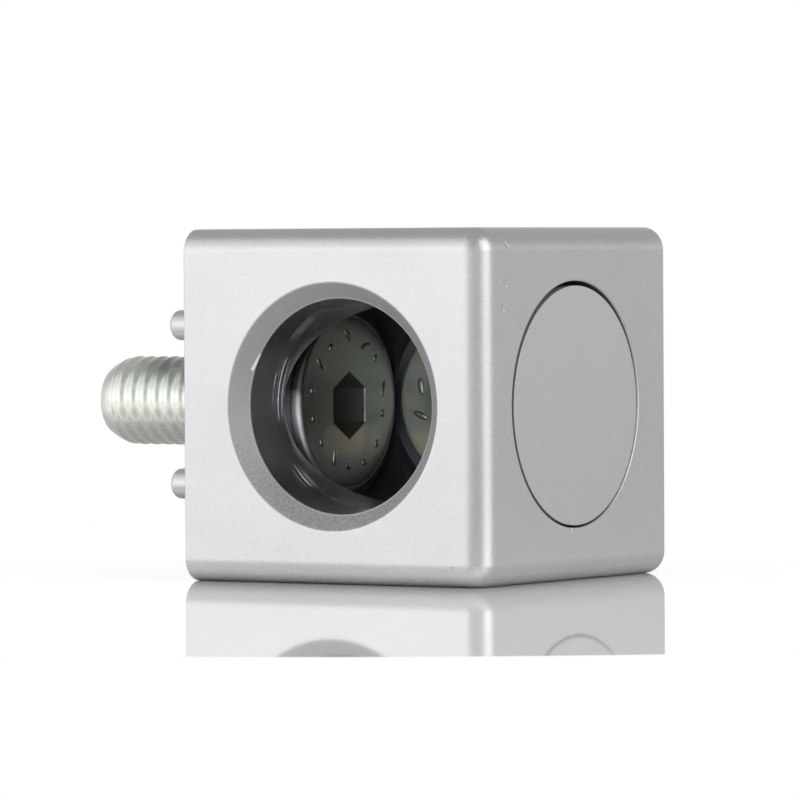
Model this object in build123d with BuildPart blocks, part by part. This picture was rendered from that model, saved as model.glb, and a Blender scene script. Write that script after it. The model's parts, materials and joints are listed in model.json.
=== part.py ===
from build123d import *
import math
import os

# Corner connector for square aluminium profile: a die-cast cube with two access
# bores that cross inside it, two countersunk screws that stand out of its mating
# faces, and a round cover cap in the right-hand bore.
# Origin at the centre of the bottom face, +Z up, the open bore towards -Y.
# All sizes are in millimetres.

os.makedirs("parts", exist_ok=True)

# Cube
cube_size = 30.0             # the same as the profile it joins
outer_edge_radius = 2.0      # rounding of the edges round the two open faces

# Screws, M8, with a countersunk head and a hexagon socket
thread_diameter = 7.8        # over the crests, within the tolerance of an M8 screw
screw_length = 24.0          # overall, head included
neck_diameter = 6.9          # plain run between the head's cone and the thread
tip_diameter = 6.2
tip_taper_length = 2.0
head_diameter = 15.5
head_rim_height = 1.15       # straight rim above the cone
head_edge_chamfer = 0.2
head_cone_angle = 90.0
socket_across_flats = 5.0
socket_depth = 3.2
socket_mouth_diameter = 6.8  # countersink round the socket's mouth
socket_mouth_angle = 120.0

# Anti-turn pins, cast on each mating face, that sit in the profile's side slots
pin_diameter = 2.6
pin_height = 3.0
pin_tip_chamfer = 0.6
pin_inset = 3.3              # from the side of the cube to a pin's axis
pin_spacing = 13.6           # between the two pins of one slot

# Access bores
mouth_chamfer = 1.38
entry_depth = 5.5            # from the open face to the ledge
entry_ledge = 0.25           # step in radius from the entry down to the bore
ledge_slope = 0.25           # run of that step along the bore

# Cover cap
cap_recess = 0.15            # depth of its face below the cube's face
cap_rim_height = 0.1         # straight rim above the cone
cap_thickness = 2.0
skirt_wall = 1.2
skirt_end_gap = 0.3          # from the skirt's end to the ledge
skirt_slot_width = 2.4       # the slots part the skirt into spring legs
skirt_slot_count = 4

# Clearances
head_corner_gap = 0.18       # from one head's rim to the plane of the other head's face
head_side_gap = 1.07         # from a head's rim to the wall of its bore
seat_clearance = 0.02        # between a head's cone and its countersink
hole_clearance = 0.3         # round the thread, in the floor of a bore
cap_seat_clearance = 0.05    # between the cap's cone and the chamfer of the mouth
skirt_clearance = 0.1        # round the skirt, in the entry of the bore

# Sizes that follow from those above
half_cube = cube_size / 2
head_radius = head_diameter / 2
neck_radius = neck_diameter / 2
thread_radius = thread_diameter / 2
head_plane = head_radius + head_corner_gap       # from the cube's centre to a head's face
bore_floor = head_plane + head_rim_height        # from the cube's centre to a bore's floor
bore_radius = head_radius + head_side_gap
entry_radius = bore_radius + entry_ledge
mouth_radius = entry_radius + mouth_chamfer
cone_height = (head_radius - neck_radius) / math.tan(math.radians(head_cone_angle / 2))
thread_start = half_cube - head_plane            # from a head's face to the mating face
cap_cone_radius = mouth_radius - cap_seat_clearance * math.sqrt(2)  # at the cube's face
cap_radius = cap_cone_radius - cap_recess - cap_rim_height
skirt_radius = entry_radius - skirt_clearance
skirt_end = entry_depth - skirt_end_gap - cap_recess
socket_mouth_radius = socket_mouth_diameter / 2

# Planes on the cube's upright faces, normals outwards, local X upwards
front_face = Plane((0, -half_cube, half_cube), x_dir=(0, 0, 1), z_dir=(0, -1, 0))
right_face = Plane((half_cube, 0, half_cube), x_dir=(0, 0, 1), z_dir=(1, 0, 0))
left_face = Plane((-half_cube, 0, half_cube), x_dir=(0, 0, 1), z_dir=(-1, 0, 0))
back_face = Plane((0, half_cube, half_cube), x_dir=(0, 0, 1), z_dir=(0, 1, 0))
cap_face = right_face.offset(-cap_recess)


def facing_in(face_plane, distance):
    # Plane parallel to an upright face, that far from the cube's centre, normal inwards
    origin = face_plane.origin + face_plane.z_dir * (distance - half_cube)
    return Plane(origin, x_dir=face_plane.x_dir, z_dir=-face_plane.z_dir)


def section(end_plane):
    # Half-section of a turned shape: local X is the radius, local Y the depth below the plane
    normal = end_plane.x_dir.cross(-end_plane.z_dir)
    return Plane(end_plane.origin, x_dir=end_plane.x_dir, z_dir=normal)


def axis_of(end_plane):
    return Axis(end_plane.origin, end_plane.z_dir)


# The body is one casting, pins included
with BuildPart() as connector_body:
    with BuildSketch(Plane.XY):
        Rectangle(cube_size, cube_size)
    extrude(amount=cube_size)

    # The edges round the two open faces are rounded. Those of the mating faces stay
    # sharp, so that the cube meets a profile's end without a groove.
    open_edges = edges().filter_by(
        lambda edge: edge.center().X > -half_cube / 2 and edge.center().Y < half_cube / 2
    )
    fillet(open_edges, radius=outer_edge_radius)

    # Two equal access bores run in from the open faces and cross at the cube's centre:
    # chamfered mouth, straight entry for the cap, ledge, bore and flat floor
    for open_face in (front_face, right_face):
        with BuildSketch(section(open_face)):
            with BuildLine():
                Polyline(
                    (0, 0),
                    (mouth_radius, 0),
                    (entry_radius, mouth_chamfer),
                    (entry_radius, entry_depth),
                    (bore_radius, entry_depth + ledge_slope),
                    (bore_radius, half_cube + bore_floor),
                    (0, half_cube + bore_floor),
                    close=True,
                )
            make_face()
        revolve(axis=axis_of(open_face), mode=Mode.SUBTRACT)

    # A countersunk hole in each floor takes a screw
    for mating_face in (left_face, back_face):
        with Locations(facing_in(mating_face, bore_floor)):
            CounterSinkHole(
                radius=thread_radius + hole_clearance,
                counter_sink_radius=head_radius + seat_clearance,
                depth=half_cube - bore_floor,
                counter_sink_angle=head_cone_angle,
            )

    # Four pins on each mating face, a pair in each side slot of the profile
    for mating_face in (left_face, back_face):
        with BuildSketch(mating_face):
            with GridLocations(pin_spacing, cube_size - 2 * pin_inset, 2, 2):
                Circle(pin_diameter / 2)
        extrude(amount=pin_height)
        chamfer(edges().group_by(axis_of(mating_face))[-1], length=pin_tip_chamfer)

connector_body.part.label = "connector_body"
export_step(connector_body.part, "parts/connector_body.step")

# Two like screws, each seated in the floor of one bore. The thread is a plain
# cylinder at its full diameter, and starts level with the mating face.
for name, mating_face in (("left_screw", left_face), ("back_screw", back_face)):
    head_face = facing_in(mating_face, head_plane)
    with BuildPart() as screw:
        with BuildSketch(section(head_face)):
            with BuildLine():
                Polyline(
                    (0, 0),
                    (head_radius, 0),
                    (head_radius, head_rim_height),
                    (neck_radius, head_rim_height + cone_height),
                    (neck_radius, thread_start - (thread_radius - neck_radius)),
                    (thread_radius, thread_start),
                    (thread_radius, screw_length - tip_taper_length),
                    (tip_diameter / 2, screw_length),
                    (0, screw_length),
                    close=True,
                )
            make_face()
        revolve(axis=axis_of(head_face))
        chamfer(edges().group_by(axis_of(head_face))[-1], length=head_edge_chamfer)

        with BuildSketch(head_face):
            RegularPolygon(socket_across_flats / 2, side_count=6, major_radius=False)
        extrude(amount=-socket_depth, mode=Mode.SUBTRACT)
        with Locations(head_face):
            Cone(
                bottom_radius=0,
                top_radius=socket_mouth_radius,
                height=socket_mouth_radius / math.tan(math.radians(socket_mouth_angle / 2)),
                align=(Align.CENTER, Align.CENTER, Align.MAX),
                mode=Mode.SUBTRACT,
            )

    screw.part.label = name
    export_step(screw.part, f"parts/{name}.step")

# The cap closes the right-hand bore: a disc on the mouth's chamfer, over a slotted skirt
with BuildPart() as cover_cap:
    with BuildSketch(section(cap_face)):
        with BuildLine():
            Polyline(
                (0, 0),
                (cap_radius, 0),
                (cap_radius, cap_rim_height),
                (skirt_radius, cap_rim_height + cap_radius - skirt_radius),
                (skirt_radius, skirt_end),
                (skirt_radius - skirt_wall, skirt_end),
                (skirt_radius - skirt_wall, cap_thickness),
                (0, cap_thickness),
                close=True,
            )
        make_face()
    revolve(axis=axis_of(cap_face))

    with BuildSketch(cap_face.offset(-skirt_end)):
        with PolarLocations(skirt_radius, skirt_slot_count):
            Rectangle(3 * skirt_wall, skirt_slot_width)
    extrude(amount=skirt_end - cap_thickness, mode=Mode.SUBTRACT)

cover_cap.part.label = "cover_cap"
export_step(cover_cap.part, "parts/cover_cap.step")
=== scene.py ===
import bmesh
import bpy
import json
import math
from mathutils import Matrix, Vector

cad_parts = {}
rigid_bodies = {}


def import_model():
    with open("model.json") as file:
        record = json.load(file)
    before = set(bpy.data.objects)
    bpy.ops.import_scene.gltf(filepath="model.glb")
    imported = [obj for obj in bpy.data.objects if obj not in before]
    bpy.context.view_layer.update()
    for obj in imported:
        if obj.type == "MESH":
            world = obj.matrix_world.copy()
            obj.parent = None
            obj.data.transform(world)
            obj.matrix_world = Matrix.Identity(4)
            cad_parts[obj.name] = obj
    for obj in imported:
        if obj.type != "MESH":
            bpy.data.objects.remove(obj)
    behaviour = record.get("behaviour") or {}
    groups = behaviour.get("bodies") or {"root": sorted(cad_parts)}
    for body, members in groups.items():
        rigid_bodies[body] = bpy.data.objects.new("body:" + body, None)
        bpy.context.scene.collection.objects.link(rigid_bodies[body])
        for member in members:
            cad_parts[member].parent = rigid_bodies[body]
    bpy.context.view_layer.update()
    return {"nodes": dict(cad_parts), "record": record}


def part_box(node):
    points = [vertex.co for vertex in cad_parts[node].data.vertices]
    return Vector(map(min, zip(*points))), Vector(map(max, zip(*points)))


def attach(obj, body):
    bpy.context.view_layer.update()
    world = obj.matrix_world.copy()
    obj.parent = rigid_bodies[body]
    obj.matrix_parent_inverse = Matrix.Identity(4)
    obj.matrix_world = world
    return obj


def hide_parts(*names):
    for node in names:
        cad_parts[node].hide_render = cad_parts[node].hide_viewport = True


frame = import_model()
print("frame loaded:", sorted(frame["nodes"]))

mm = 0.001
scene = bpy.context.scene
mounts = {mount["name"]: mount for mount in frame["record"]["mounts"]}


def linear(hexColour):
    # sRGB hex to the linear RGBA that Blender's sockets take
    channels = [int(hexColour[i:i + 2], 16) / 255 for i in (1, 3, 5)]
    return [c / 12.92 if c <= 0.04045 else ((c + 0.055) / 1.055) ** 2.4 for c in channels] + [1.0]


def addNode(tree, kind, links=None, **settings):
    # links gives inputs by name or number: a socket is linked, anything else is set
    node = tree.nodes.new(kind)
    for key, value in settings.items():
        setattr(node, key, value)
    for key, value in (links or {}).items():
        if isinstance(value, bpy.types.NodeSocket):
            tree.links.new(value, node.inputs[key])
        else:
            node.inputs[key].default_value = value
    return node


def span(side, limits):
    # The two ends of a Map Range, side being From or To
    return {side + " Min": limits[0], side + " Max": limits[1]}


def newObject(name, mesh):
    piece = bpy.data.objects.new(name, mesh)
    scene.collection.objects.link(piece)
    return piece


def meshFrom(name, bm):
    mesh = bpy.data.meshes.new(name)
    bm.to_mesh(mesh)
    bm.free()
    return mesh


def applyModifiers(piece):
    # The evaluated result becomes the piece's plain mesh
    depsgraph = bpy.context.evaluated_depsgraph_get()
    mesh = bpy.data.meshes.new_from_object(piece.evaluated_get(depsgraph))
    piece.modifiers.clear()
    piece.data = mesh


def boolean(piece, tool, operation):
    modifier = piece.modifiers.new("cut", "BOOLEAN")
    modifier.operation = operation
    modifier.solver = "EXACT"
    modifier.object = tool
    applyModifiers(piece)
    bpy.data.objects.remove(tool)


def runTree(name, tree, values, mesh=None):
    # Runs a geometry tree with the given inputs and returns an object with the plain result
    piece = newObject(name, mesh or bpy.data.meshes.new(name))
    modifier = piece.modifiers.new(tree.name, "NODES")
    modifier.node_group = tree
    for socket in tree.interface.items_tree:
        if socket.in_out == "INPUT" and socket.name in values:
            modifier[socket.identifier] = values[socket.name]
    applyModifiers(piece)
    return piece


def newTree(name, **inputs):
    # A geometry tree with named inputs; an underscore in a name stands for a space
    tree = bpy.data.node_groups.new(name, "GeometryNodeTree")
    for key, kind in inputs.items():
        tree.interface.new_socket(key.replace("_", " "), in_out="INPUT", socket_type="NodeSocket" + kind)
    tree.interface.new_socket("Geometry", in_out="OUTPUT", socket_type="NodeSocketGeometry")
    return tree, addNode(tree, "NodeGroupInput").outputs


def endTree(tree, geometry, material, selection=True):
    real = addNode(tree, "GeometryNodeRealizeInstances", {"Geometry": geometry})
    painted = addNode(tree, "GeometryNodeSetMaterial", {
        "Geometry": real.outputs[0], "Material": material, "Selection": selection})
    addNode(tree, "NodeGroupOutput", {"Geometry": painted.outputs[0]})


def arc(radius, height, round, start, end, steps):
    # Points of a rounding in a turned profile, about (radius, height), angles from the radius up
    angles = [math.radians(start + (end - start) * i / steps) for i in range(steps + 1)]
    return [(radius + round * math.cos(a), height + round * math.sin(a)) for a in angles]


def lathe(profile, segments):
    # Closed turned shape round Z from (radius, height) points, in mm, that start and end on the axis
    bm = bmesh.new()
    rings = []
    for radius, height in profile:
        count = segments if radius > 0 else 1
        rings.append([
            bm.verts.new((
                radius * math.cos(math.tau * i / segments) * mm,
                radius * math.sin(math.tau * i / segments) * mm,
                height * mm,
            ))
            for i in range(count)
        ])
    for lower, upper in zip(rings, rings[1:]):
        for i in range(segments):
            j = (i + 1) % segments
            corners = (
                lower[i % len(lower)], lower[j % len(lower)],
                upper[j % len(upper)], upper[i % len(upper)],
            )
            bm.faces.new(list(dict.fromkeys(corners)))
    bmesh.ops.recalc_face_normals(bm, faces=bm.faces)
    return bm


def placeOn(origin, outward):
    # Frame on an upright face: local Z outwards, local X upwards
    axisZ = Vector(outward)
    axisX = Vector((0, 0, 1))
    axisY = axisZ.cross(axisX)
    rotation = Matrix((axisX, axisY, axisZ)).transposed().to_4x4()
    return Matrix.Translation(origin) @ rotation


def softenEdges(piece, widthOf, widest, segments, least=25):
    # Rounds each edge sharper than least degrees by its own width in mm; widthOf gets the edge's
    # middle. An even number of segments gives each side of an edge its own material.
    bm = bmesh.new()
    bm.from_mesh(piece.data)
    bmesh.ops.remove_doubles(bm, verts=bm.verts, dist=1e-7)
    weights = bm.edges.layers.float.new("bevel_weight_edge")
    for edge in bm.edges:
        if edge.calc_face_angle(0) > math.radians(least):
            middle = (edge.verts[0].co + edge.verts[1].co) / 2
            edge[weights] = widthOf(middle) / widest
    bm.to_mesh(piece.data)
    bm.free()
    bevel = piece.modifiers.new("softEdges", "BEVEL")
    bevel.limit_method = "WEIGHT"
    bevel.width = widest * mm
    bevel.segments = segments
    bevel.use_clamp_overlap = False
    for polygon in piece.data.polygons:
        polygon.use_smooth = True
    weighted = piece.modifiers.new("flatFacesStayFlat", "WEIGHTED_NORMAL")
    weighted.keep_sharp = True
    applyModifiers(piece)


# Sizes and places from the frame, in mm
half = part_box("connector_body")[1].x / mm
centre = Vector((0, 0, half * mm))
seat = mounts["cap_seat"]
entryRadius = seat["dims"]["r_mm"]
seatMiddle = half + seat["pos_m"][1] / mm
mouthChamfer = seatMiddle - seat["dims"]["length_mm"] / 2
entryDepth = seatMiddle + seat["dims"]["length_mm"] / 2
mouthRadius = entryRadius + mouthChamfer
headPlane = -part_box("left_screw")[1].x / mm
screwLength = (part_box("left_screw")[1].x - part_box("left_screw")[0].x) / mm
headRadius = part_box("left_screw")[1].y / mm
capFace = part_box("cover_cap")[1].x / mm
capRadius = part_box("cover_cap")[1].y / mm
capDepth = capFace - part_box("cover_cap")[0].x / mm
studRadius = mounts["left_stud"]["dims"]["r_mm"]
pinDims = mounts["left_pins"]["dims"]

openFaces = {
    "front": placeOn(centre + Vector((0, -half * mm, 0)), (0, -1, 0)),
    "right": placeOn(centre + Vector((half * mm, 0, 0)), (1, 0, 0)),
}
matingFaces = {
    "left": placeOn(centre + Vector((-half * mm, 0, 0)), (-1, 0, 0)),
    "back": placeOn(centre + Vector((0, half * mm, 0)), (0, 1, 0)),
}


noiseSpan = (0.3, 0.7)  # nearly all of a noise texture lies between these


def newMaterial(name):
    material = bpy.data.materials.new(name)
    material.use_nodes = True
    tree = material.node_tree
    tree.nodes.clear()
    shader = addNode(tree, "ShaderNodeBsdfPrincipled")
    addNode(tree, "ShaderNodeOutputMaterial", {"Surface": shader.outputs[0]})
    place = addNode(tree, "ShaderNodeTexCoord").outputs["Object"]
    return material, tree, shader, place


def nearLines(tree, place, lines):
    # 1 on any of the given short lines, falling to 0 at the width of each
    field = 0.0
    for start, end, width in lines:
        start, end = Vector(start) * mm, Vector(end) * mm
        along = end - start
        fromStart = addNode(tree, "ShaderNodeVectorMath", {
            0: place, 1: start}, operation="SUBTRACT").outputs[0]
        share = addNode(tree, "ShaderNodeVectorMath", {
            0: fromStart, 1: along / along.length_squared}, operation="DOT_PRODUCT").outputs["Value"]
        share = addNode(tree, "ShaderNodeClamp", {"Value": share}).outputs[0]
        nearest = addNode(tree, "ShaderNodeVectorMath", {
            0: along, "Scale": share}, operation="SCALE").outputs[0]
        apart = addNode(tree, "ShaderNodeVectorMath", {
            0: fromStart, 1: nearest}, operation="DISTANCE").outputs["Value"]
        near = addNode(tree, "ShaderNodeMapRange", {
            "Value": apart, "From Min": 0.0, "From Max": width * mm, "To Min": 1.0, "To Max": 0.0}).outputs[0]
        field = addNode(tree, "ShaderNodeMath", {0: near, 1: field}, operation="MAXIMUM").outputs[0]
    return field


skinLooks = {
    "silver": "#B5B4B6",
    "grain": 0.22,             # mm between the dimples of the blasting, coarser than real, to show
    "grainTone": (0.92, 1.07),
    "dimple": 0.008,           # mm deep
    "pit": 0.4,                # mm between pits
    "pitFrom": (0.66, 0.74),   # higher makes them sparser
    "pitDepth": 0.006,         # mm
    "cloud": 6.0,              # mm across the faint unevenness of the coat
    "cloudTone": (0.975, 1.02),
    "roughness": (0.31, 0.41),
    "nickDepth": 0.08,         # mm
    # where each nick or scratch starts and ends, and its width, in mm
    "nicks": [
        ((14.9, -11.5, 29.1), (15.0, -11.1, 28.4), 0.24),
        ((15.0, -11.6, 25.5), (15.0, -11.4, 25.1), 0.18),
        ((15.0, -11.9, 23.4), (15.0, -11.8, 23.0), 0.16),
        ((15.0, -1.0, 4.7), (15.0, -0.9, 4.2), 0.16),
        ((11.8, -15.0, 1.7), (11.9, -15.0, 1.1), 0.14),
        ((-4.6, -14.5, 29.2), (-3.4, -14.7, 28.8), 0.1),
        ((-3.6, -14.7, 28.6), (-2.6, -14.4, 29.3), 0.09),
    ],
}


def blastedSilver():
    # Die-cast alloy, fine blasted and clear coated: soft satin metal with a faint grain
    looks = skinLooks
    material, tree, shader, place = newMaterial("blastedSilver")
    grain = addNode(tree, "ShaderNodeTexNoise", {
        "Vector": place, "Scale": 1000 / looks["grain"], "Detail": 3.0, "Roughness": 0.6}).outputs["Fac"]
    cloud = addNode(tree, "ShaderNodeTexNoise", {
        "Vector": place, "Scale": 1000 / looks["cloud"], "Detail": 4.0}).outputs["Fac"]
    tone = addNode(tree, "ShaderNodeMapRange", {
        "Value": cloud, **span("From", noiseSpan), **span("To", looks["cloudTone"])}).outputs[0]
    speck = addNode(tree, "ShaderNodeMapRange", {
        "Value": grain, **span("From", noiseSpan), **span("To", looks["grainTone"])}).outputs[0]
    both = addNode(tree, "ShaderNodeMath", {0: tone, 1: speck}, operation="MULTIPLY").outputs[0]
    colour = addNode(tree, "ShaderNodeVectorMath", {
        0: linear(looks["silver"])[:3], "Scale": both}, operation="SCALE").outputs[0]
    tree.links.new(colour, shader.inputs["Base Color"])
    rough = addNode(tree, "ShaderNodeMapRange", {
        "Value": grain, **span("From", noiseSpan), **span("To", looks["roughness"])}).outputs[0]
    tree.links.new(rough, shader.inputs["Roughness"])
    fine = addNode(tree, "ShaderNodeBump", {"Height": grain, "Distance": looks["dimple"] * mm})
    pits = addNode(tree, "ShaderNodeTexNoise", {"Vector": place, "Scale": 1000 / looks["pit"]}).outputs["Fac"]
    pitted = addNode(tree, "ShaderNodeMapRange", {
        "Value": pits, **span("From", looks["pitFrom"])}).outputs[0]
    fine = addNode(tree, "ShaderNodeBump", {
        "Height": pitted, "Distance": looks["pitDepth"] * mm, "Normal": fine.outputs[0]}, invert=True)
    nicked = nearLines(tree, place, looks["nicks"])
    bump = addNode(tree, "ShaderNodeBump", {
        "Height": nicked, "Distance": looks["nickDepth"] * mm, "Normal": fine.outputs[0]}, invert=True)
    tree.links.new(bump.outputs[0], shader.inputs["Normal"])
    shader.inputs["Metallic"].default_value = 1.0
    return material


mouthLooks = {
    "grey": "#A5A4A7",
    # near white, painted into the colour: the burr's glint, and the worn inner edge with its highlight
    "glintWhite": "#F0F0F0",
    "grit": 0.18,              # mm across the bright and dark specks, coarser than real, to show
    "gritDepth": 0.01,         # mm
    "gritTone": (0.34, 0.05),  # how strong the specks are, low and high in the mouth
    "gritHeight": (5.0, 14.0),  # mm above the floor where these hold
    "edge": 0.22,              # mm across the bright line round the inner edge
    "edgeWearAndHighlight": (0.1, 1.0),    # how bright the worn edge and its painted highlight are, on the left and on the right
    "edgeRun": 6.0,            # mm each side of the middle, between which that changes
    "paintedGlint": [((-8.72, -13.8, 18.1), (-8.0, -13.66, 19.3), 0.2)],
    "paintedGlintFrom": (0.2, 0.5),    # higher makes the burr thinner
    "roughness": 0.52,
    "metallic": 0.6,
}


def coarseMouth():
    # The mouth's cone, machined and then coarse blasted: matt grey metal, speckled in its lower
    # half, worn along its inner edge and painted bright there as a highlight, most on the right,
    # with one burr painted bright as its glint
    looks = mouthLooks
    material, tree, shader, place = newMaterial("coarseBlastedMouth")
    grit = addNode(tree, "ShaderNodeTexNoise", {
        "Vector": place, "Scale": 1000 / looks["grit"], "Detail": 2.0, "Roughness": 0.7}).outputs["Fac"]
    xyz = addNode(tree, "ShaderNodeSeparateXYZ", {0: place}).outputs
    amount = addNode(tree, "ShaderNodeMapRange", {
        "Value": xyz["Z"], "From Min": looks["gritHeight"][0] * mm, "From Max": looks["gritHeight"][1] * mm,
        **span("To", looks["gritTone"])}).outputs[0]
    signed = addNode(tree, "ShaderNodeMapRange", {
        "Value": grit, **span("From", noiseSpan), "To Min": -1.0, "To Max": 1.0}).outputs[0]
    tone = addNode(tree, "ShaderNodeMath", {
        0: signed, 1: amount, 2: 1.0}, operation="MULTIPLY_ADD").outputs[0]
    gritty = addNode(tree, "ShaderNodeVectorMath", {
        0: linear(looks["grey"])[:3], "Scale": tone}, operation="SCALE").outputs[0]
    # The burr's glint and the worn edge's highlight are painted near white
    paintedGlint = addNode(tree, "ShaderNodeMapRange", {
        "Value": nearLines(tree, place, looks["paintedGlint"]),
        **span("From", looks["paintedGlintFrom"])}).outputs[0]
    innerEdge = (mouthChamfer - half) * mm
    edge = addNode(tree, "ShaderNodeMapRange", {
        "Value": xyz["Y"], "From Min": innerEdge - looks["edge"] * mm, "From Max": innerEdge}).outputs[0]
    wornAndLit = addNode(tree, "ShaderNodeMapRange", {
        "Value": xyz["X"], "From Min": -looks["edgeRun"] * mm, "From Max": looks["edgeRun"] * mm,
        **span("To", looks["edgeWearAndHighlight"])}).outputs[0]
    edge = addNode(tree, "ShaderNodeMath", {0: edge, 1: wornAndLit}, operation="MULTIPLY").outputs[0]
    paintedGlint = addNode(tree, "ShaderNodeMath", {0: paintedGlint, 1: edge}, operation="MAXIMUM").outputs[0]
    colour = addNode(tree, "ShaderNodeMix", {
        0: paintedGlint, 6: gritty, 7: linear(looks["glintWhite"])}, data_type="RGBA").outputs[2]
    tree.links.new(colour, shader.inputs["Base Color"])
    bump = addNode(tree, "ShaderNodeBump", {"Height": grit, "Distance": looks["gritDepth"] * mm})
    tree.links.new(bump.outputs[0], shader.inputs["Normal"])
    shader.inputs["Roughness"].default_value = looks["roughness"]
    shader.inputs["Metallic"].default_value = looks["metallic"]
    return material


boreLooks = {
    "bare": "#DADADF",
    "deepShade": "#77777D",         # painted shade, beyond the crossing
    # painted glint on the scores
    "glintWhite": "#FFFFFF",
    "ring": 0.11,              # mm between the turning tool's marks
    "ringLength": 25.0,        # mm that a mark keeps its strength for
    "groove": 0.0013,          # mm deep
    "pit": 0.2,                # mm
    "pitShare": 0.4,           # of the grooves' depth that goes to the pits
    "scoreGlintRun": 1.6,           # mm each side of the ledge where the scores' painted glints show
    "scoreGlintFrom": (0.56, 0.6),  # higher makes the scores fewer and thinner
    "patch": 4.5455,           # mm across the patches that the painted glints come in
    "patchFrom": (0.48, 0.6),  # higher makes the patches smaller
    "deepRun": (-1.0, 4.0),    # mm past the middle over which the bore is painted darker as shade and turns dull
    "roughness": 0.28,
    "deepRoughness": 0.5,
}


def turnedBore(name, axis, inward):
    # Bare alloy, turned: reflects its own dark inside, with fine rings, scores by the ledge painted
    # white as glints, and beyond the crossing painted darker as shade and duller. inward is the sign
    # of the bore's run along its axis.
    looks = boreLooks
    material, tree, shader, place = newMaterial(name)
    squeeze = [1000 / looks["ringLength"]] * 3
    squeeze[axis] = 1000 / looks["ring"]
    rings = addNode(tree, "ShaderNodeMapping", {"Vector": place, "Scale": squeeze}).outputs[0]
    lines = addNode(tree, "ShaderNodeTexNoise", {"Vector": rings, "Scale": 1.0, "Detail": 2.0}).outputs["Fac"]
    pits = addNode(tree, "ShaderNodeTexNoise", {
        "Vector": place, "Scale": 1000 / looks["pit"], "Detail": 2.0}).outputs["Fac"]
    height = addNode(tree, "ShaderNodeMix", {0: looks["pitShare"], 2: lines, 3: pits}).outputs[0]
    bump = addNode(tree, "ShaderNodeBump", {"Height": height, "Distance": looks["groove"] * mm})
    tree.links.new(bump.outputs[0], shader.inputs["Normal"])
    depth = addNode(tree, "ShaderNodeSeparateXYZ", {0: place}).outputs[axis]
    depth = addNode(tree, "ShaderNodeMath", {0: depth, 1: inward}, operation="MULTIPLY").outputs[0]
    away = addNode(tree, "ShaderNodeMath", {
        0: depth, 1: (entryDepth - half) * mm}, operation="SUBTRACT").outputs[0]
    away = addNode(tree, "ShaderNodeMath", {0: away}, operation="ABSOLUTE").outputs[0]
    nearLedge = addNode(tree, "ShaderNodeMapRange", {
        "Value": away, "From Min": 0.0, "From Max": looks["scoreGlintRun"] * mm,
        "To Min": 1.0, "To Max": 0.0}).outputs[0]
    thin = addNode(tree, "ShaderNodeMapRange", {
        "Value": lines, **span("From", looks["scoreGlintFrom"])}).outputs[0]
    patches = addNode(tree, "ShaderNodeTexNoise", {
        "Vector": place, "Scale": 1000 / looks["patch"], "Detail": 3.0}).outputs["Fac"]
    shown = addNode(tree, "ShaderNodeMapRange", {
        "Value": patches, **span("From", looks["patchFrom"])}).outputs[0]
    # Scores by the ledge, painted white as glints
    scoreGlint = addNode(tree, "ShaderNodeMath", {0: thin, 1: shown}, operation="MULTIPLY").outputs[0]
    scoreGlint = addNode(tree, "ShaderNodeMath", {0: scoreGlint, 1: nearLedge}, operation="MULTIPLY").outputs[0]
    # Deeper in the bore the colour darkens as painted shade, and the finish turns duller
    deepShade = addNode(tree, "ShaderNodeMapRange", {
        "Value": depth,
        "From Min": looks["deepRun"][0] * mm, "From Max": looks["deepRun"][1] * mm}).outputs[0]
    wall = addNode(tree, "ShaderNodeMix", {
        0: deepShade, 6: linear(looks["bare"]), 7: linear(looks["deepShade"])}, data_type="RGBA").outputs[2]
    colour = addNode(tree, "ShaderNodeMix", {
        0: scoreGlint, 6: wall, 7: linear(looks["glintWhite"])}, data_type="RGBA").outputs[2]
    tree.links.new(colour, shader.inputs["Base Color"])
    wallRough = addNode(tree, "ShaderNodeMapRange", {
        "Value": deepShade, "To Min": looks["roughness"], "To Max": looks["deepRoughness"]}).outputs[0]
    rough = addNode(tree, "ShaderNodeMapRange", {
        "Value": scoreGlint, "To Min": wallRough, "To Max": 1.0}).outputs[0]
    tree.links.new(rough, shader.inputs["Roughness"])
    metal = addNode(tree, "ShaderNodeMath", {0: 1.0, 1: scoreGlint}, operation="SUBTRACT").outputs[0]
    tree.links.new(metal, shader.inputs["Metallic"])
    return material


threadLooks = {
    "zinc": "#C0C4BE",
    "warm": "#C4C2B8",
    # painted shade over the top of the stud
    "patchTone": "#7F847D",
    "cloud": 4.0,              # mm across the clouds in the passivated film
    "warmFrom": (0.5, 0.68),   # higher makes the warm clouds fewer
    "patchCut": (0.12, 0.3),  # higher makes the patches smaller
    "grain": 0.3,              # mm
    "dimple": 0.0015,          # mm deep
    "roughness": (0.24, 0.29),
    # where the painted shade over the top of the stud runs, and how far it reaches, in mm
    "patchLines": [((-25.0, -3.5, 20.2), (-13.0, -3.5, 20.2), 6.0)],
}

headLooks = {
    **threadLooks,
    "zinc": "#A5AAA4",
    "warm": "#A9A8A0",
    # paler and warmer: the patches low on each head
    "patchTone": "#C2BEB0",
    "cloud": 5.0,
    "grain": 0.8,
    "dimple": 0.003,
    "roughness": (0.29, 0.34),
    # where each paler, warmer patch low on a head runs, and how far it reaches, in mm
    "patchLines": [
        ((-7.9, -2.6, 11.6), (-7.9, 1.4, 11.8), 2.2),
        ((-6.0, 7.9, 11.0), (-4.0, 7.9, 11.0), 2.0),
    ],
}

# The head's rim: the zinc painted light, as a highlight, with painted shade over its top
rimLooks = {
    **headLooks,
    "zinc": "#E6E8E8",
    "warm": "#E6E8E8",
    "patchTone": "#5A5E5C",
    "roughness": (0.48, 0.53),
    # where the painted shade over the top of the rim runs, and how far it reaches, in mm
    "patchLines": [((-8.5, -7.1, 18.4), (-8.5, -4.0, 21.7), 6.0)],
}

# The socket: the zinc painted darker, as shade in its hollow, and rougher
socketLooks = {
    **headLooks,
    "zinc": "#9C9F99",
    "warm": "#9C9F99",
    "roughness": (0.58, 0.63),
    "patchLines": [],
}


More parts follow.
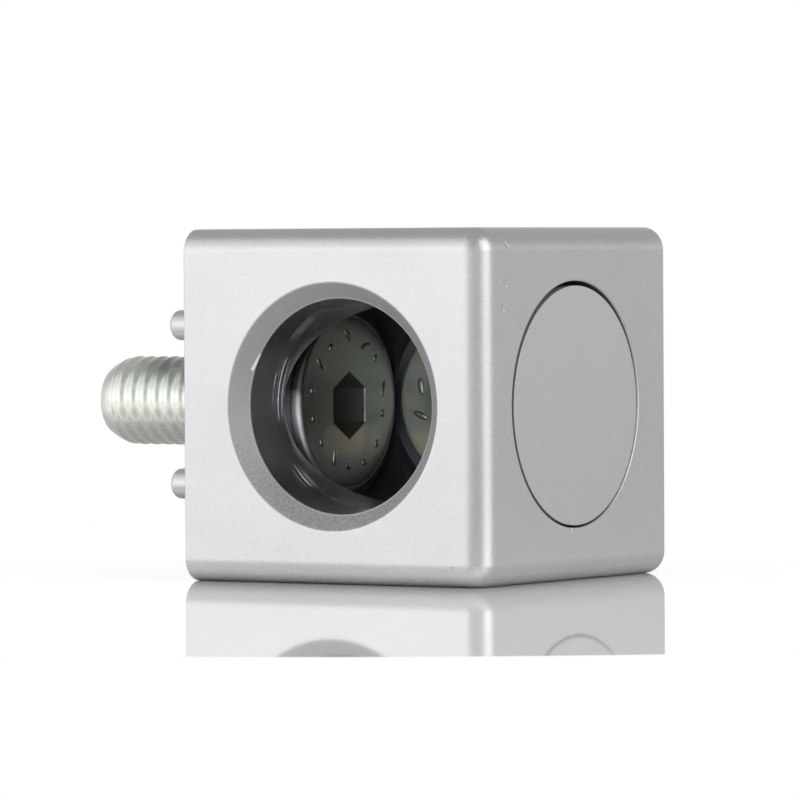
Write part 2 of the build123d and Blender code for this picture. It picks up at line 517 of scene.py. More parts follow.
def passivatedZinc(name, looks):
    # Zinc-plated steel with a clear passivate: a cold grey-green metal with faint warmer clouds,
    # bright where the thread was rolled and duller on the head, with patches of another tone near
    # given lines; the rim is painted light as a highlight and the socket painted darker as shade
    material, tree, shader, place = newMaterial(name)
    cloud = addNode(tree, "ShaderNodeTexNoise", {
        "Vector": place, "Scale": 1000 / looks["cloud"], "Detail": 3.0, "Roughness": 0.6}).outputs["Fac"]
    warmth = addNode(tree, "ShaderNodeMapRange", {
        "Value": cloud, **span("From", looks["warmFrom"])}).outputs[0]
    colour = addNode(tree, "ShaderNodeMix", {
        0: warmth, 6: linear(looks["zinc"]), 7: linear(looks["warm"])}, data_type="RGBA").outputs[2]
    # Patches of another tone near the given lines: painted shade on the stud and the rim, paler and warmer on
    # the heads
    near = nearLines(tree, place, looks["patchLines"])
    patchShare = addNode(tree, "ShaderNodeMath", {0: near, 1: cloud}, operation="MULTIPLY").outputs[0]
    patchShare = addNode(tree, "ShaderNodeMapRange", {
        "Value": patchShare, **span("From", looks["patchCut"])}).outputs[0]
    colour = addNode(tree, "ShaderNodeMix", {
        0: patchShare, 6: colour, 7: linear(looks["patchTone"])}, data_type="RGBA").outputs[2]
    tree.links.new(colour, shader.inputs["Base Color"])
    grain = addNode(tree, "ShaderNodeTexNoise", {
        "Vector": place, "Scale": 1000 / looks["grain"], "Detail": 3.0}).outputs["Fac"]
    rough = addNode(tree, "ShaderNodeMapRange", {
        "Value": grain, **span("From", noiseSpan), **span("To", looks["roughness"])}).outputs[0]
    tree.links.new(rough, shader.inputs["Roughness"])
    bump = addNode(tree, "ShaderNodeBump", {"Height": grain, "Distance": looks["dimple"] * mm})
    tree.links.new(bump.outputs[0], shader.inputs["Normal"])
    shader.inputs["Metallic"].default_value = 1.0
    return material


capLooks = {
    "grey": "#B5B3B6",
    "grain": 0.18,             # mm across the mould's spark-eroded texture, coarser than real, to show
    "grainTone": (0.94, 1.05),
    "grainDepth": 0.006,       # mm
    "roughness": 0.42,
    "metallic": 0.6,           # of the aluminium pigment
}


def mouldedGrey():
    # Plastic moulded in aluminium grey: matt, with a faint metallic sheen from its pigment and the
    # fine texture of a spark-eroded mould
    looks = capLooks
    material, tree, shader, place = newMaterial("mouldedGrey")
    grain = addNode(tree, "ShaderNodeTexNoise", {
        "Vector": place, "Scale": 1000 / looks["grain"], "Detail": 2.0, "Roughness": 0.7}).outputs["Fac"]
    tone = addNode(tree, "ShaderNodeMapRange", {
        "Value": grain, **span("From", noiseSpan), **span("To", looks["grainTone"])}).outputs[0]
    colour = addNode(tree, "ShaderNodeVectorMath", {
        0: linear(looks["grey"])[:3], "Scale": tone}, operation="SCALE").outputs[0]
    tree.links.new(colour, shader.inputs["Base Color"])
    bump = addNode(tree, "ShaderNodeBump", {"Height": grain, "Distance": looks["grainDepth"] * mm})
    tree.links.new(bump.outputs[0], shader.inputs["Normal"])
    shader.inputs["Roughness"].default_value = looks["roughness"]
    shader.inputs["Metallic"].default_value = looks["metallic"]
    return material


silver = blastedSilver()
mouthGrey = coarseMouth()
frontBore = turnedBore("turnedFrontBore", 1, 1)
rightBore = turnedBore("turnedRightBore", 0, -1)
rolledZinc = passivatedZinc("passivatedRolledZinc", threadLooks)
dullZinc = passivatedZinc("passivatedDullZinc", headLooks)
rimHighlightZinc = passivatedZinc("passivatedZincRimHighlight", rimLooks)
socketShadeZinc = passivatedZinc("passivatedZincSocketShade", socketLooks)
capGrey = mouldedGrey()
print("materials made")


# Lengths in mm
bodyForm = {
    "outerRound": 2.0,
    "roundSteps": 14,
    "boreRadius": 8.82,
    "boreFloor": 8.83,         # from the cube's centre
    "seatFloor": 9.08,         # of the shallow seat that a head sits in
    "seatRadius": 7.86,
    "ledgeRun": 1.2,           # along the bore, over which the entry narrows to the bore
    "capWall": 0.4,            # depth of the plain wall round the cap
    "capGroove": 3.0,          # depth of the dark groove below that
    "grooveDraft": 0.02,       # how much that groove narrows
    "headSeat": 7.77,          # radius where the cone under a head starts
    "screwHole": 4.2,
    "boreSteps": 144,
    "past": 1,                 # how far a cutter reaches past the casting
    "pinRound": 0.6,           # rounding of a pin's tip
    "pinSteps": 48,
    "pinSink": 1.0,            # run of a pin inside the casting
    # widths of the softened edges
    "matingEdge": 0.2,
    "lipEdge": 0.14,
    "entryEdge": 0.1,
    "crossingEdge": 0.07,
    "crossingFade": 4.0,       # height above the middle where that edge has its full width
    "rootEdge": 0.12,          # where a pin leaves its face
    "edgeSegments": 4,
}


def pinTree():
    # One pin on each point of a grid on the XY plane
    tree, given = newTree(
        "pinPattern", Pin="Object", Spacing_X="Float", Spacing_Y="Float", Material="Material")
    grid = addNode(tree, "GeometryNodeMeshGrid", {
        "Size X": given["Spacing X"], "Size Y": given["Spacing Y"], "Vertices X": 2, "Vertices Y": 2})
    pin = addNode(tree, "GeometryNodeObjectInfo", {"Object": given["Pin"]})
    pins = addNode(tree, "GeometryNodeInstanceOnPoints", {
        "Points": grid.outputs["Mesh"], "Instance": pin.outputs["Geometry"]})
    endTree(tree, pins.outputs[0], given["Material"])
    return tree


def bodyEdgeWidth(point):
    # Width of the softened edge through a point: each mouth's lip and inner edge, the pins' roots,
    # and the edges where the bores cross
    form = bodyForm
    near = 0.02
    offset = (point - centre) / mm
    mouths = (
        (offset.y + half, math.hypot(offset.x, offset.z)),
        (half - offset.x, math.hypot(offset.y, offset.z)),
    )
    for depth, radius in mouths:
        if abs(depth) < near and radius < mouthRadius + 5 * near:
            return form["lipEdge"]
        if abs(depth - mouthChamfer) < near:
            return form["entryEdge"]
    if max(-offset.x, offset.y) > half - near / 2:
        return form["rootEdge"]
    # The two bores' walls run flush beside the heads, so their edge fades out there
    return form["crossingEdge"] * min(1, abs(offset.z) / form["crossingFade"])


def makeBody():
    form = bodyForm
    skins = (silver, mouthGrey, frontBore, rightBore)
    bm = bmesh.new()
    bmesh.ops.create_cube(bm, size=2 * half * mm)
    # Large rounds on all edges but those of the mating faces, left and back
    openEdges = [
        edge for edge in bm.edges
        if (edge.verts[0].co + edge.verts[1].co).x > -half * mm
        and (edge.verts[0].co + edge.verts[1].co).y < half * mm
    ]
    bmesh.ops.bevel(
        bm, geom=openEdges, offset=form["outerRound"] * mm, segments=form["roundSteps"],
        profile=0.5, affect="EDGES")
    # The mating faces' own edges are softened here, while the cube is still plain
    inside = (half - 0.001) * mm
    outline = [
        edge for edge in bm.edges
        if all(vert.co.x < -inside for vert in edge.verts) or all(vert.co.y > inside for vert in edge.verts)
    ]
    bmesh.ops.bevel(
        bm, geom=outline, offset=form["matingEdge"] * mm, segments=form["edgeSegments"],
        profile=0.5, affect="EDGES")
    bmesh.ops.translate(bm, verts=bm.verts, vec=centre)
    body = newObject("castBody", meshFrom("castBody", bm))
    for skin in skins:
        body.data.materials.append(skin)

    floorDepth = half + form["boreFloor"]
    seatDepth = half + form["seatFloor"]
    coneDepth = seatDepth + form["headSeat"] - form["screwHole"]
    past = form["past"]
    openMouth = [(0, past), (mouthRadius + past, past), (entryRadius, -mouthChamfer)]
    cappedMouth = [
        (0, past), (mouthRadius, past), (mouthRadius, -form["capWall"]),
        (mouthRadius - form["grooveDraft"], -form["capGroove"]),
        (entryRadius, -form["capGroove"] - mouthChamfer),
    ]
    bore = [
        (entryRadius, -entryDepth + form["ledgeRun"] / 2),
        (form["boreRadius"], -entryDepth - form["ledgeRun"] / 2), (form["boreRadius"], -floorDepth),
        (form["seatRadius"], -floorDepth), (form["seatRadius"], -seatDepth),
        (form["headSeat"], -seatDepth), (form["screwHole"], -coneDepth),
        (form["screwHole"], -2 * half - past), (0, -2 * half - past),
    ]
    # Each bore's mouth, the depth of that mouth's own skin, and the skins of mouth and wall
    bores = (
        ("front", openMouth, mouthChamfer, mouthGrey, frontBore),
        ("right", cappedMouth, form["capWall"], silver, rightBore),
    )
    for side, mouth, mouthDepth, mouthSkin, wallSkin in bores:
        profile = mouth + bore
        cutter = newObject("boreCutter", meshFrom("boreCutter", lathe(profile, form["boreSteps"])))
        for skin in skins:
            cutter.data.materials.append(skin)
        for polygon in cutter.data.polygons:
            depth = -polygon.center.z / mm
            polygon.material_index = skins.index(mouthSkin if depth < mouthDepth else wallSkin)
        cutter.data.transform(openFaces[side])
        boolean(body, cutter, "DIFFERENCE")

    pinRadius = pinDims["stud_r_mm"]
    pinHeight = -(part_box("connector_body")[0].x / mm + half)
    tip = form["pinRound"]
    pinProfile = [(0, pinHeight)] + arc(pinRadius - tip, pinHeight - tip, tip, 90, 0, steps=8)
    pinProfile += [(pinRadius, -form["pinSink"]), (0, -form["pinSink"])]
    pin = newObject("pin", meshFrom("pin", lathe(pinProfile, form["pinSteps"])))
    tree = pinTree()
    # A mating face's local X runs upwards, which is Y in the frame's own pattern
    spacings = {"Spacing X": pinDims["spacing_y_mm"] * mm, "Spacing Y": pinDims["spacing_x_mm"] * mm}
    for place in matingFaces.values():
        pins = runTree("pins", tree, {"Pin": pin, "Material": silver, **spacings})
        pins.data.transform(place)
        boolean(body, pins, "UNION")
    bpy.data.objects.remove(pin)
    softenEdges(body, bodyEdgeWidth, form["lipEdge"], form["edgeSegments"])
    return body


body = makeBody()
print("body:", len(body.data.polygons), "faces")


# Lengths in mm
screwForm = {
    "neckRadius": 3.45,
    "neckEdge": 0.1,           # between the head's cone and the neck
    "rimHeight": 1.15,
    "rimEdge": 0.08,           # between the rim and the head's cone, on the rim
    "coneEdge": 0.06,          # the same on the cone
    "faceEdge": 0.4,           # rounding round the head's face
    "pitch": 1.25,
    "threadDepth": 0.15,
    "valley": 1.0,             # higher makes the thread's valleys narrower and its crests broader
    "threadFrom": 5.9,         # from the head's face, inside the screw hole
    "ringsPerTurn": 16,
    "steps": 96,               # round the axis, a multiple of 12
    "tipRadius": 3.1,
    "tipLength": 2.0,
    "tipBulge": 1.5,           # 1 is a plain cone, and higher rounds it
    "tipEdge": 0.25,
    "socketFlats": 5.0,
    "socketDepth": 3.7,
    "socketEdge": 0.08,        # chamfer round the socket
    "socketOff": (-0.3, 0.12),  # the punched socket is a little off centre
    "drillRadius": 0.4,        # of the hollow left by the drill's point, at its bottom
    "drillDepth": 0.9,
}

markForm = {
    "ring": 5.6,               # radius of the ring of marks on a head
    "spread": 0.35,            # how far a mark strays from its place
    "count": 14,
    "size": 0.36,              # radius of a dot
    "width": 0.8,              # of a mark, as a share of its length
    "height": 0.14,            # of the marks above the face
    "dash": 2.1,               # a dash is this many times as long as a dot
    "dots": 0.45,              # share of the marks that are dots
}


def threadTree():
    # Turns a smooth shank round Z into a rolled right-hand thread by moving its points inwards
    tree, given = newTree(
        "rolledThread", Geometry="Geometry", Pitch="Float", Depth="Float", Valley="Float",
        Crest_Radius="Float", Start="Float", Run_In="Float", Material="Material")
    position = addNode(tree, "GeometryNodeInputPosition").outputs[0]
    xyz = addNode(tree, "ShaderNodeSeparateXYZ", {0: position}).outputs
    squareX = addNode(tree, "ShaderNodeMath", {0: xyz["X"], 1: xyz["X"]}, operation="MULTIPLY").outputs[0]
    squareY = addNode(tree, "ShaderNodeMath", {0: xyz["Y"], 1: xyz["Y"]}, operation="MULTIPLY").outputs[0]
    squares = addNode(tree, "ShaderNodeMath", {0: squareX, 1: squareY}, operation="ADD").outputs[0]
    radius = addNode(tree, "ShaderNodeMath", {0: squares}, operation="SQRT").outputs[0]

    # Turns of the helix at each point, from which groove is 1 in a valley and 0 on a crest
    angle = addNode(tree, "ShaderNodeMath", {0: xyz["Y"], 1: xyz["X"]}, operation="ARCTAN2").outputs[0]
    swept = addNode(tree, "ShaderNodeMath", {0: angle, 1: math.tau}, operation="DIVIDE").outputs[0]
    along = addNode(tree, "ShaderNodeMath", {0: xyz["Z"], 1: given["Pitch"]}, operation="DIVIDE").outputs[0]
    turns = addNode(tree, "ShaderNodeMath", {0: along, 1: swept}, operation="SUBTRACT").outputs[0]
    halfTurns = addNode(tree, "ShaderNodeMath", {0: turns, 1: math.pi}, operation="MULTIPLY").outputs[0]
    wave = addNode(tree, "ShaderNodeMath", {0: halfTurns}, operation="COSINE").outputs[0]
    wave = addNode(tree, "ShaderNodeMath", {0: wave, 1: wave}, operation="MULTIPLY").outputs[0]
    groove = addNode(tree, "ShaderNodeMath", {0: wave, 1: given["Valley"]}, operation="POWER").outputs[0]

    # The groove runs in from nothing over the first turn
    runEnd = addNode(tree, "ShaderNodeMath", {
        0: given["Start"], 1: given["Run In"]}, operation="ADD").outputs[0]
    runIn = addNode(tree, "ShaderNodeMapRange", {
        "Value": xyz["Z"], "From Min": given["Start"], "From Max": runEnd}).outputs[0]
    cut = addNode(tree, "ShaderNodeMath", {0: given["Depth"], 1: groove}, operation="MULTIPLY").outputs[0]
    cut = addNode(tree, "ShaderNodeMath", {0: cut, 1: runIn}, operation="MULTIPLY").outputs[0]
    most = addNode(tree, "ShaderNodeMath", {
        0: given["Crest Radius"], 1: cut}, operation="SUBTRACT").outputs[0]
    threaded = addNode(tree, "ShaderNodeMath", {0: radius, 1: most}, operation="MINIMUM").outputs[0]

    radius = addNode(tree, "ShaderNodeMath", {0: radius, 1: 1e-6}, operation="MAXIMUM").outputs[0]
    scale = addNode(tree, "ShaderNodeMath", {0: threaded, 1: radius}, operation="DIVIDE").outputs[0]
    movedX = addNode(tree, "ShaderNodeMath", {0: xyz["X"], 1: scale}, operation="MULTIPLY").outputs[0]
    movedY = addNode(tree, "ShaderNodeMath", {0: xyz["Y"], 1: scale}, operation="MULTIPLY").outputs[0]
    moved = addNode(tree, "ShaderNodeCombineXYZ", {"X": movedX, "Y": movedY, "Z": xyz["Z"]}).outputs[0]
    beyond = addNode(tree, "ShaderNodeMath", {
        0: xyz["Z"], 1: given["Start"]}, operation="GREATER_THAN").outputs[0]
    shaped = addNode(tree, "GeometryNodeSetPosition", {
        "Geometry": given["Geometry"], "Selection": beyond, "Position": moved})
    endTree(tree, shaped.outputs[0], given["Material"], beyond)
    return tree


def markTree():
    # A ring of small raised dots and dashes on the XY plane, at random and turned at random
    tree, given = newTree(
        "headMarks", Ring="Float", Spread="Float", Count="Int", Size="Float", Width="Float",
        Height="Float", Dash="Float", Dots="Float", Seed="Int", Material="Material")
    most = given["Spread"]
    least = addNode(tree, "ShaderNodeMath", {0: most, 1: -1.0}, operation="MULTIPLY").outputs[0]
    draws = []
    for offset, (low, high) in enumerate(((least, most), (least, most), (0.0, 1.0), (0.0, math.pi)), 1):
        seed = addNode(tree, "ShaderNodeMath", {0: given["Seed"], 1: offset}, operation="ADD").outputs[0]
        draws.append(addNode(tree, "FunctionNodeRandomValue", {2: low, 3: high, 8: seed}).outputs[1])
    strayX, strayY, kind, turn = draws

    circle = addNode(tree, "GeometryNodeMeshCircle", {"Vertices": given["Count"], "Radius": given["Ring"]})
    stray = addNode(tree, "ShaderNodeCombineXYZ", {"X": strayX, "Y": strayY}).outputs[0]
    points = addNode(tree, "GeometryNodeSetPosition", {
        "Geometry": circle.outputs[0], "Offset": stray}).outputs[0]
    dome = addNode(tree, "GeometryNodeMeshIcoSphere", {"Radius": given["Size"], "Subdivisions": 3}).outputs[0]
    isDash = addNode(tree, "ShaderNodeMath", {
        0: kind, 1: given["Dots"]}, operation="GREATER_THAN").outputs[0]
    length = addNode(tree, "ShaderNodeMapRange", {
        "Value": isDash, "To Min": 1.0, "To Max": given["Dash"]}).outputs[0]
    flatness = addNode(tree, "ShaderNodeMath", {
        0: given["Height"], 1: given["Size"]}, operation="DIVIDE").outputs[0]
    scale = addNode(tree, "ShaderNodeCombineXYZ", {
        "X": length, "Y": given["Width"], "Z": flatness}).outputs[0]
    turn = addNode(tree, "ShaderNodeCombineXYZ", {"Z": turn}).outputs[0]
    rotation = addNode(tree, "FunctionNodeEulerToRotation", {"Euler": turn}).outputs[0]
    marks = addNode(tree, "GeometryNodeInstanceOnPoints", {
        "Points": points, "Instance": dome, "Rotation": rotation, "Scale": scale})
    endTree(tree, marks.outputs[0], given["Material"])
    return tree


def screwBlank():
    # Head, hexagon socket and smooth shank as one closed shell: head's face at Z 0, tip along +Z
    form = screwForm
    steps = form["steps"]
    flat = form["socketFlats"] / 2
    chamfer = form["socketEdge"]
    offX, offY = form["socketOff"]

    def hexagon(angle):
        return flat / math.cos(angle % (math.pi / 3) - math.pi / 6)

    def ring(radius, depth, shift=0.0):
        # radius may depend on the angle; shift moves the ring with the socket
        points = []
        for i in range(steps):
            angle = math.tau * i / steps
            r = radius(angle) if callable(radius) else radius
            x = r * math.cos(angle) + shift * offX
            y = r * math.sin(angle) + shift * offY
            points.append((x * mm, y * mm, depth * mm))
        return points

    rings = [
        ring(form["drillRadius"], form["socketDepth"] + form["drillDepth"], 1),
        ring(flat - 0.1, form["socketDepth"] + 0.1, 1),
        ring(hexagon, form["socketDepth"], 1),
        ring(hexagon, chamfer, 1),
        ring(lambda angle: hexagon(angle) + chamfer, 0.0, 1),
        ring((flat + headRadius) / 2, 0.0, 0.4),
        ring(headRadius - form["faceEdge"] - 0.3, 0.0),
    ]
    edge = form["faceEdge"]
    rings += [ring(radius, -height) for radius, height in arc(headRadius - edge, -edge, edge, 90, 0, steps=6)]
    coneEnd = form["rimHeight"] + headRadius - form["neckRadius"]
    rings += [
        ring(headRadius, form["rimHeight"] - form["rimEdge"]),
        ring(headRadius - form["coneEdge"], form["rimHeight"] + form["coneEdge"]),
        ring(form["neckRadius"] + form["neckEdge"], coneEnd - form["neckEdge"]),
        ring(form["neckRadius"], coneEnd + form["rimEdge"]),
        ring(form["neckRadius"], form["threadFrom"]),
    ]
    count = int((screwLength - form["threadFrom"]) * form["ringsPerTurn"] / form["pitch"])
    tipFrom = screwLength - form["tipLength"]
    for i in range(1, count + 1):
        z = form["threadFrom"] + (screwLength - form["threadFrom"]) * i / count
        radius = min(studRadius, form["neckRadius"] + z - form["threadFrom"])
        if z > tipFrom:
            share = (z - tipFrom) / form["tipLength"]
            radius = studRadius - (studRadius - form["tipRadius"]) * share ** form["tipBulge"]
        rings.append(ring(radius, z))
    rings.append(ring(form["tipRadius"] - form["tipEdge"], screwLength))

    bm = bmesh.new()
    loops = [[bm.verts.new(point) for point in points] for points in rings]
    for inner, outer in zip(loops, loops[1:]):
        for i in range(steps):
            j = (i + 1) % steps
            bm.faces.new((inner[i], inner[j], outer[j], outer[i]))
    for loop in (loops[0], loops[-1]):
        bm.faces.new(loop)
    bmesh.ops.recalc_face_normals(bm, faces=bm.faces)
    mesh = meshFrom("screwBlank", bm)
    mesh.materials.append(dullZinc)
    mesh.materials.append(rimHighlightZinc)
    mesh.materials.append(socketShadeZinc)
    # The rim takes the zinc painted light as a highlight, the socket the zinc painted darker as shade
    for polygon in mesh.polygons:
        middle = polygon.center / mm
        radius = math.hypot(middle.x, middle.y)
        onRim = radius > headRadius - edge and middle.z < form["rimHeight"] + 0.1
        inSocket = radius < headRadius / 2 and chamfer < middle.z < form["socketDepth"] + 1
        polygon.material_index = 1 if onRim else 2 if inSocket else 0
    return mesh


def makeScrew(name, side, seed):
    form = screwForm
    screw = runTree(name, threads, {
        "Pitch": form["pitch"] * mm, "Depth": form["threadDepth"] * mm, "Valley": form["valley"],
        "Crest Radius": studRadius * mm, "Start": form["threadFrom"] * mm, "Run In": form["pitch"] * mm,
        "Material": rolledZinc}, screwBlank())
    marks = runTree("marks", headMarks, {
        "Ring": markForm["ring"] * mm, "Spread": markForm["spread"] * mm, "Count": markForm["count"],
        "Size": markForm["size"] * mm, "Width": markForm["width"], "Height": markForm["height"] * mm,
        "Dash": markForm["dash"], "Dots": markForm["dots"], "Seed": seed, "Material": dullZinc})
    marks.data.transform(Matrix.Scale(-1, 4, (0, 0, 1)))
    marks.data.flip_normals()
    boolean(screw, marks, "UNION")
    for polygon in screw.data.polygons:
        polygon.use_smooth = abs(polygon.normal.z) < 0.9999
    screw.data.set_sharp_from_angle(angle=math.radians(40))
    screw.data.transform(matingFaces[side] @ Matrix.Translation((0, 0, (headPlane - half) * mm)))
    return screw


threads = threadTree()
headMarks = markTree()
leftScrew = makeScrew("leftScrew", "left", 3)
backScrew = makeScrew("backScrew", "back", 8)
print("screws:", len(leftScrew.data.polygons), "and", len(backScrew.data.polygons), "faces")


# Lengths in mm
capForm = {
    "edgeRound": 0.05,
    "rimHeight": 0.9,
    "grow": 0.04,              # the disc is this much larger in radius than the plain solid
    "shift": (-0.11, -0.245),  # of the cap in its mouth, upwards and towards the front
    "thickness": 2.0,
    "skirtGap": 0.4,           # from the skirt to the bore's entry
    "skirtWall": 1.2,
    "slotWidth": 2.4,
    "slots": 4,
    "past": 1,                 # how far a slot's cutter reaches past the skirt
    "slotEdge": 0.12,
    "edgeSegments": 4,
    "steps": 160,
}


def makeCap():
    form = capForm
    skirt = entryRadius - form["skirtGap"]
    edge = form["edgeRound"]
    rim = capRadius + form["grow"]
    profile = [(0, 0)] + arc(rim - edge, -edge, edge, 90, 0, steps=6)
    profile += [
        (rim, -form["rimHeight"]), (skirt, skirt - rim - form["rimHeight"]), (skirt, -capDepth),
        (skirt - form["skirtWall"], -capDepth), (skirt - form["skirtWall"], -form["thickness"]),
        (0, -form["thickness"]),
    ]
    cap = newObject("capDisc", meshFrom("capDisc", lathe(profile, form["steps"])))
    # Each cut runs right across, so it makes two slots
    for i in range(form["slots"] // 2):
        bm = bmesh.new()
        bmesh.ops.create_cube(bm, size=1)
        depth = capDepth - form["thickness"] + form["past"]
        bmesh.ops.scale(bm, verts=bm.verts, vec=Vector((3 * entryRadius, form["slotWidth"], depth)) * mm)
        bmesh.ops.translate(bm, verts=bm.verts, vec=(0, 0, -(form["thickness"] + depth / 2) * mm))
        bmesh.ops.rotate(bm, verts=bm.verts, matrix=Matrix.Rotation(math.tau * i / form["slots"], 3, "Z"))
        boolean(cap, newObject("slot", meshFrom("slot", bm)), "DIFFERENCE")
    softenEdges(cap, lambda point: form["slotEdge"], form["slotEdge"], form["edgeSegments"])
    cap.data.materials.clear()
    cap.data.materials.append(capGrey)
    place = Matrix.Translation(Vector((*form["shift"], capFace - half)) * mm)
    cap.data.transform(openFaces["right"] @ place)
    return cap


cap = makeCap()
print("cap:", len(cap.data.polygons), "faces")

for piece, node, slotName in (
    (body, "connector_body", "cast_aluminium"),
    (leftScrew, "left_screw", "zinc_plated_steel"),
    (backScrew, "back_screw", "zinc_plated_steel"),
    (cap, "cover_cap", "cap_plastic"),
):
    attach(piece, "root")
    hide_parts(node)


# Lengths in metres
studio = {
    "floorSize": 6.0,
    "floorWhite": "#FFFFFF",   # as the camera sees it
    "floorGrey": "#F0F0F0",    # as the object sees it
    "floorLift": "#1C1C1C",    # a little light of its own, so that the glossy disc is white too
    "paper": "#FAFAFA",
    "acrylicIor": 1.6,
    "acrylicRoughness": 0.03,
    "mirror": (0.106, 0.1075),  # radii between which the glossy disc fades into white paper
    # light that the key lays on the floor: a strip at the object's foot, in front and at its side,
    # and a sheen far in front
    "poolNear": 0.44,
    "poolSide": 0.2,
    "poolFar": 0.78,
    "stripStart": (0.0137, 0.0152),  # from the middle: where the strip starts and where it is full
    "stripEnd": (0.017, 0.024),  # where it starts to fade and where it ends
    "sheenStart": 0.02,
    "sheenLobe": (0.3, 0.9),   # higher makes the sheen narrower
    # white surroundings, dimmer overhead, and a low white card beside the key light
    "white": 1.08,
    "ceiling": 0.66,
    "horizon": (0.12, 0.4),    # sines of the elevations between which white turns to ceiling
    "ambient": 0.8,            # share of it that lights what doesn't mirror it
    "glow": 0.52,
    "glowAzimuth": -38,
    "glowLobe": (0.78, 0.98),  # higher makes the card smaller
    # azimuth and elevation in degrees, distance, width, height, and brightness of the face
    "softboxes": {
        "keySoftbox": (-46, 24, 0.7, 1.17, 0.68, 0.7),
        "sideSoftbox": (86, 24, 0.7, 0.55, 0.7, 1.8),
    },
}


def directionTo(azimuth, elevation):
    # azimuth from -Y towards +X, in degrees
    a, e = math.radians(azimuth), math.radians(elevation)
    return Vector((math.sin(a) * math.cos(e), -math.cos(a) * math.cos(e), math.sin(e)))


def makeWorld():
    world = bpy.data.worlds.new("studio")
    scene.world = world
    world.use_nodes = True
    tree = world.node_tree
    tree.nodes.clear()
    direction = addNode(tree, "ShaderNodeTexCoord").outputs["Generated"]
    up = addNode(tree, "ShaderNodeSeparateXYZ", {0: direction}).outputs["Z"]
    level = addNode(tree, "ShaderNodeMapRange", {
        "Value": up, **span("From", studio["horizon"]),
        "To Min": studio["white"], "To Max": studio["ceiling"]}).outputs[0]
    facing = addNode(tree, "ShaderNodeVectorMath", {
        0: direction, 1: directionTo(studio["glowAzimuth"], 0)}, operation="DOT_PRODUCT").outputs["Value"]
    glow = addNode(tree, "ShaderNodeMapRange", {
        "Value": facing, **span("From", studio["glowLobe"]),
        "To Max": studio["glow"]}, interpolation_type="SMOOTHSTEP").outputs[0]
    level = addNode(tree, "ShaderNodeMath", {0: level, 1: glow}, operation="ADD").outputs[0]
    # Mirrored rays see the full level, matt surfaces a share of it, and the camera white
    rays = addNode(tree, "ShaderNodeLightPath").outputs
    seen = addNode(tree, "ShaderNodeMath", {
        0: rays["Is Glossy Ray"], 1: rays["Is Transmission Ray"]}, operation="MAXIMUM").outputs[0]
    share = addNode(tree, "ShaderNodeMapRange", {
        "Value": seen, "To Min": studio["ambient"], "To Max": 1.0}).outputs[0]
    lit = addNode(tree, "ShaderNodeMath", {0: level, 1: share}, operation="MULTIPLY").outputs[0]
    strength = addNode(tree, "ShaderNodeMath", {
        0: lit, 1: rays["Is Camera Ray"]}, operation="MAXIMUM").outputs[0]
    background = addNode(tree, "ShaderNodeBackground", {"Color": (1, 1, 1, 1), "Strength": strength})
    addNode(tree, "ShaderNodeOutputWorld", {"Surface": background.outputs[0]})


def softbox(name, azimuth, elevation, distance, width, height, level):
    # An area light that faces the object
    direction = directionTo(azimuth, elevation)
    light = bpy.data.lights.new(name, "AREA")
    light.shape = "RECTANGLE"
    light.size = width
    light.size_y = height
    light.energy = level * math.pi * width * height
    lamp = bpy.data.objects.new(name, light)
    lamp.location = centre + direction * distance
    lamp.rotation_euler = direction.to_track_quat("Z", "Y").to_euler()
    scene.collection.objects.link(lamp)


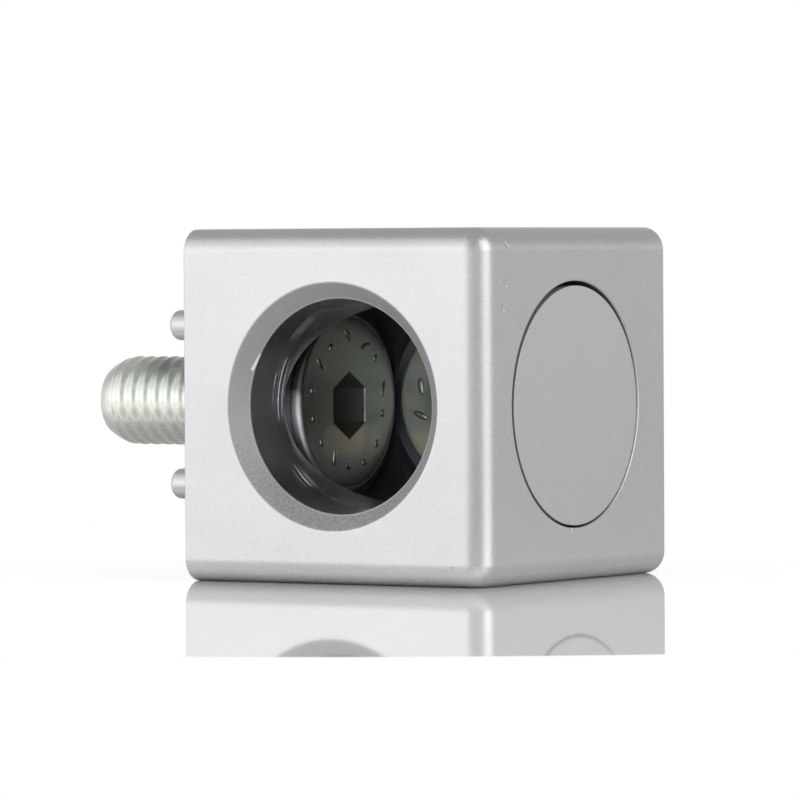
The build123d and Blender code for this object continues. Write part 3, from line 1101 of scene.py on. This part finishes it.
def makeFloor():
    # Glossy white acrylic under the object, which mirrors its foot, in a field of white paper
    bm = bmesh.new()
    bmesh.ops.create_grid(bm, x_segments=1, y_segments=1, size=studio["floorSize"] / 2)
    floor = newObject("floor", meshFrom("floor", bm))
    material, tree, shader, place = newMaterial("whiteAcrylic")
    rays = addNode(tree, "ShaderNodeLightPath").outputs
    tone = addNode(tree, "ShaderNodeMix", {
        0: rays["Is Camera Ray"], 6: linear(studio["floorGrey"]), 7: linear(studio["floorWhite"])},
        data_type="RGBA").outputs[2]
    tree.links.new(tone, shader.inputs["Base Color"])
    shader.inputs["Roughness"].default_value = studio["acrylicRoughness"]
    shader.inputs["IOR"].default_value = studio["acrylicIor"]

    # Reflections in the object see the key's light on the floor: a strip in front of the foot, and
    # a sheen that grows with distance towards the key
    distance = addNode(tree, "ShaderNodeVectorMath", {0: place}, operation="LENGTH").outputs["Value"]
    heading = addNode(tree, "ShaderNodeVectorMath", {0: place}, operation="NORMALIZE").outputs[0]
    facing = addNode(tree, "ShaderNodeVectorMath", {
        0: heading, 1: directionTo(studio["glowAzimuth"], 0)}, operation="DOT_PRODUCT").outputs["Value"]
    lobe = addNode(tree, "ShaderNodeMapRange", {
        "Value": facing, **span("From", studio["sheenLobe"])},
        interpolation_type="SMOOTHSTEP").outputs[0]
    sheen = addNode(tree, "ShaderNodeMapRange", {
        "Value": distance, "From Min": studio["sheenStart"], "From Max": studio["mirror"][0],
        "To Max": studio["poolFar"]}).outputs[0]
    pool = addNode(tree, "ShaderNodeMath", {0: sheen, 1: lobe}, operation="MULTIPLY").outputs[0]
    xyz = addNode(tree, "ShaderNodeSeparateXYZ", {0: place}).outputs
    for axis, side, most in (("Y", -1, studio["poolNear"]), ("X", 1, studio["poolSide"])):
        start, full = (side * reach for reach in studio["stripStart"])
        fading, end = (side * reach for reach in studio["stripEnd"])
        strip = addNode(tree, "ShaderNodeMapRange", {
            "Value": xyz[axis], "From Min": start, "From Max": full, "To Max": most}).outputs[0]
        fade = addNode(tree, "ShaderNodeMapRange", {
            "Value": xyz[axis], "From Min": end, "From Max": fading}).outputs[0]
        pool = addNode(tree, "ShaderNodeMath", {
            0: strip, 1: fade, 2: pool}, operation="MULTIPLY_ADD").outputs[0]
    pool = addNode(tree, "ShaderNodeMath", {
        0: pool, 1: rays["Is Glossy Ray"]}, operation="MULTIPLY").outputs[0]
    lift = addNode(tree, "ShaderNodeMath", {
        0: rays["Is Camera Ray"], 1: linear(studio["floorLift"])[0], 2: pool},
        operation="MULTIPLY_ADD").outputs[0]
    tree.links.new(lift, shader.inputs["Emission Strength"])
    shader.inputs["Emission Color"].default_value = (1, 1, 1, 1)
    lit = addNode(tree, "ShaderNodeBsdfPrincipled", {
        "Base Color": linear(studio["paper"]), "Roughness": 1.0, "Emission Color": (1, 1, 1, 1),
        "Emission Strength": pool}).outputs[0]
    plain = addNode(tree, "ShaderNodeEmission", {"Color": linear(studio["floorWhite"])}).outputs[0]
    paper = addNode(tree, "ShaderNodeMixShader", {0: rays["Is Camera Ray"], 1: lit, 2: plain}).outputs[0]
    beyond = addNode(tree, "ShaderNodeMapRange", {
        "Value": distance, **span("From", studio["mirror"])},
        interpolation_type="SMOOTHSTEP").outputs[0]
    mixed = addNode(tree, "ShaderNodeMixShader", {0: beyond, 1: shader.outputs[0], 2: paper}).outputs[0]
    tree.links.new(mixed, tree.nodes["Material Output"].inputs["Surface"])
    floor.data.materials.append(material)


makeWorld()
makeFloor()
for name, setting in studio["softboxes"].items():
    softbox(name, *setting)


# Angles in degrees, lengths in metres, and the lens in mm
view = {
    "azimuth": 32.036,
    "elevation": 1.381,
    "distance": 0.54473,
    "roll": -0.310,
    "lens": 285.2,
    "aimLeft": 2.251 * mm,
    "aimUp": 0.252 * mm,
}


def makeCamera():
    back = directionTo(view["azimuth"], view["elevation"])
    right = directionTo(view["azimuth"] + 90, 0)
    up = back.cross(right)
    eye = centre + back * view["distance"]
    target = centre - right * view["aimLeft"] + up * view["aimUp"]
    back = (eye - target).normalized()
    right = (right - back * right.dot(back)).normalized()
    up = back.cross(right)
    roll = math.radians(view["roll"])
    sideways = right * math.cos(roll) + up * math.sin(roll)
    upwards = up * math.cos(roll) - right * math.sin(roll)
    data = bpy.data.cameras.new("camera")
    data.lens = view["lens"]
    data.sensor_width = 36
    data.clip_start = 0.01
    camera = bpy.data.objects.new("camera", data)
    turn = Matrix((sideways, upwards, back)).transposed().to_4x4()
    camera.matrix_world = Matrix.Translation(eye) @ turn
    scene.collection.objects.link(camera)
    scene.camera = camera


makeCamera()
scene.view_settings.view_transform = "Standard"
print("stage, light and camera set")
